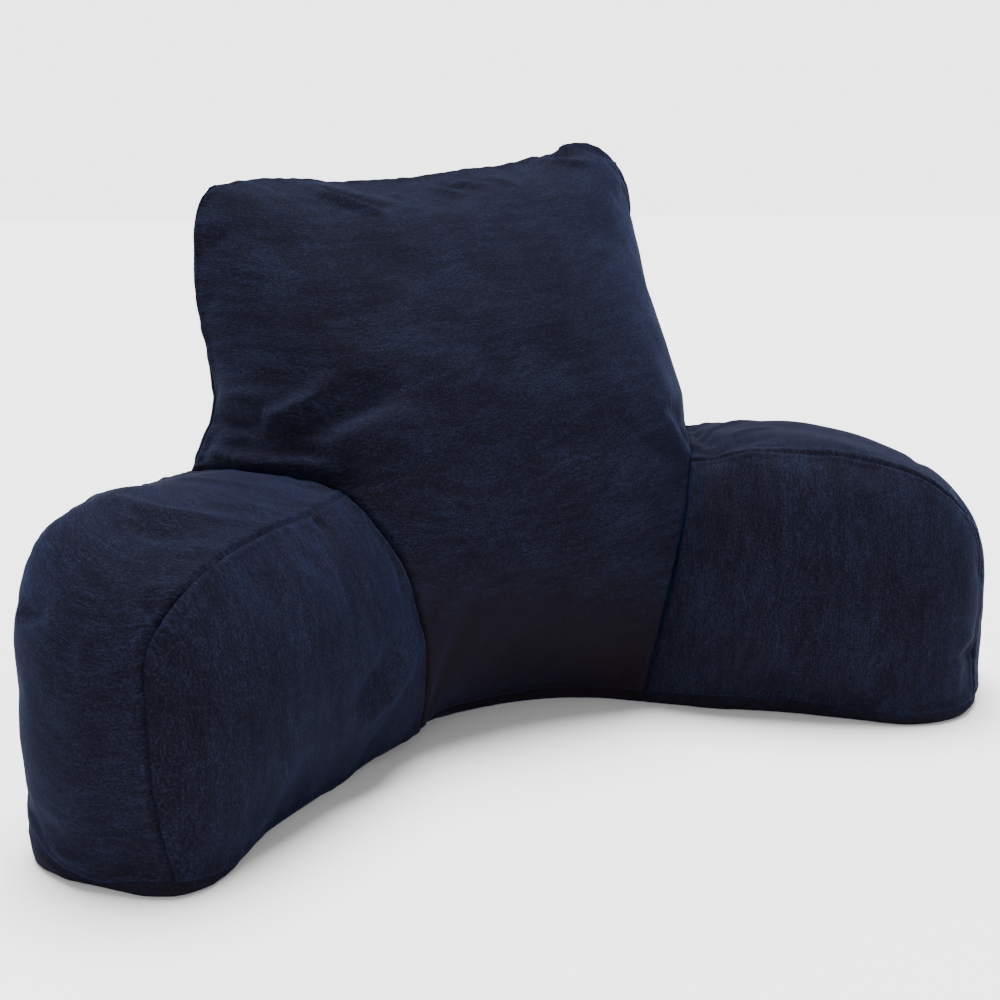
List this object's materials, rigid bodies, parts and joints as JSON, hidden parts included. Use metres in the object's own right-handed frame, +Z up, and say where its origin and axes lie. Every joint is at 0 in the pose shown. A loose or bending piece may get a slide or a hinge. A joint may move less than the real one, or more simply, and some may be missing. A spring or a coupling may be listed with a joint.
{
  "type": "reading pillow with arms",
  "caption": "Filled cloth reading pillow: a leaning back rest between two splayed, boxed arms, which stands by itself on a bed or floor.",
  "frame": {"origin": "under the middle of the pillow's box, on the floor", "axes": "+Z up; the sitter's side faces -Y; +X to the right of someone who looks at that side"},
  "size_m": [0.807, 0.3926, 0.4633],
  "materials": {
    "navy_chenille": "dull short pile with fine slubs"
  },
  "bodies": {
    "root": {"back_rest": "navy_chenille", "arm_left": "navy_chenille", "arm_right": "navy_chenille"}
  },
  "joints": []
}
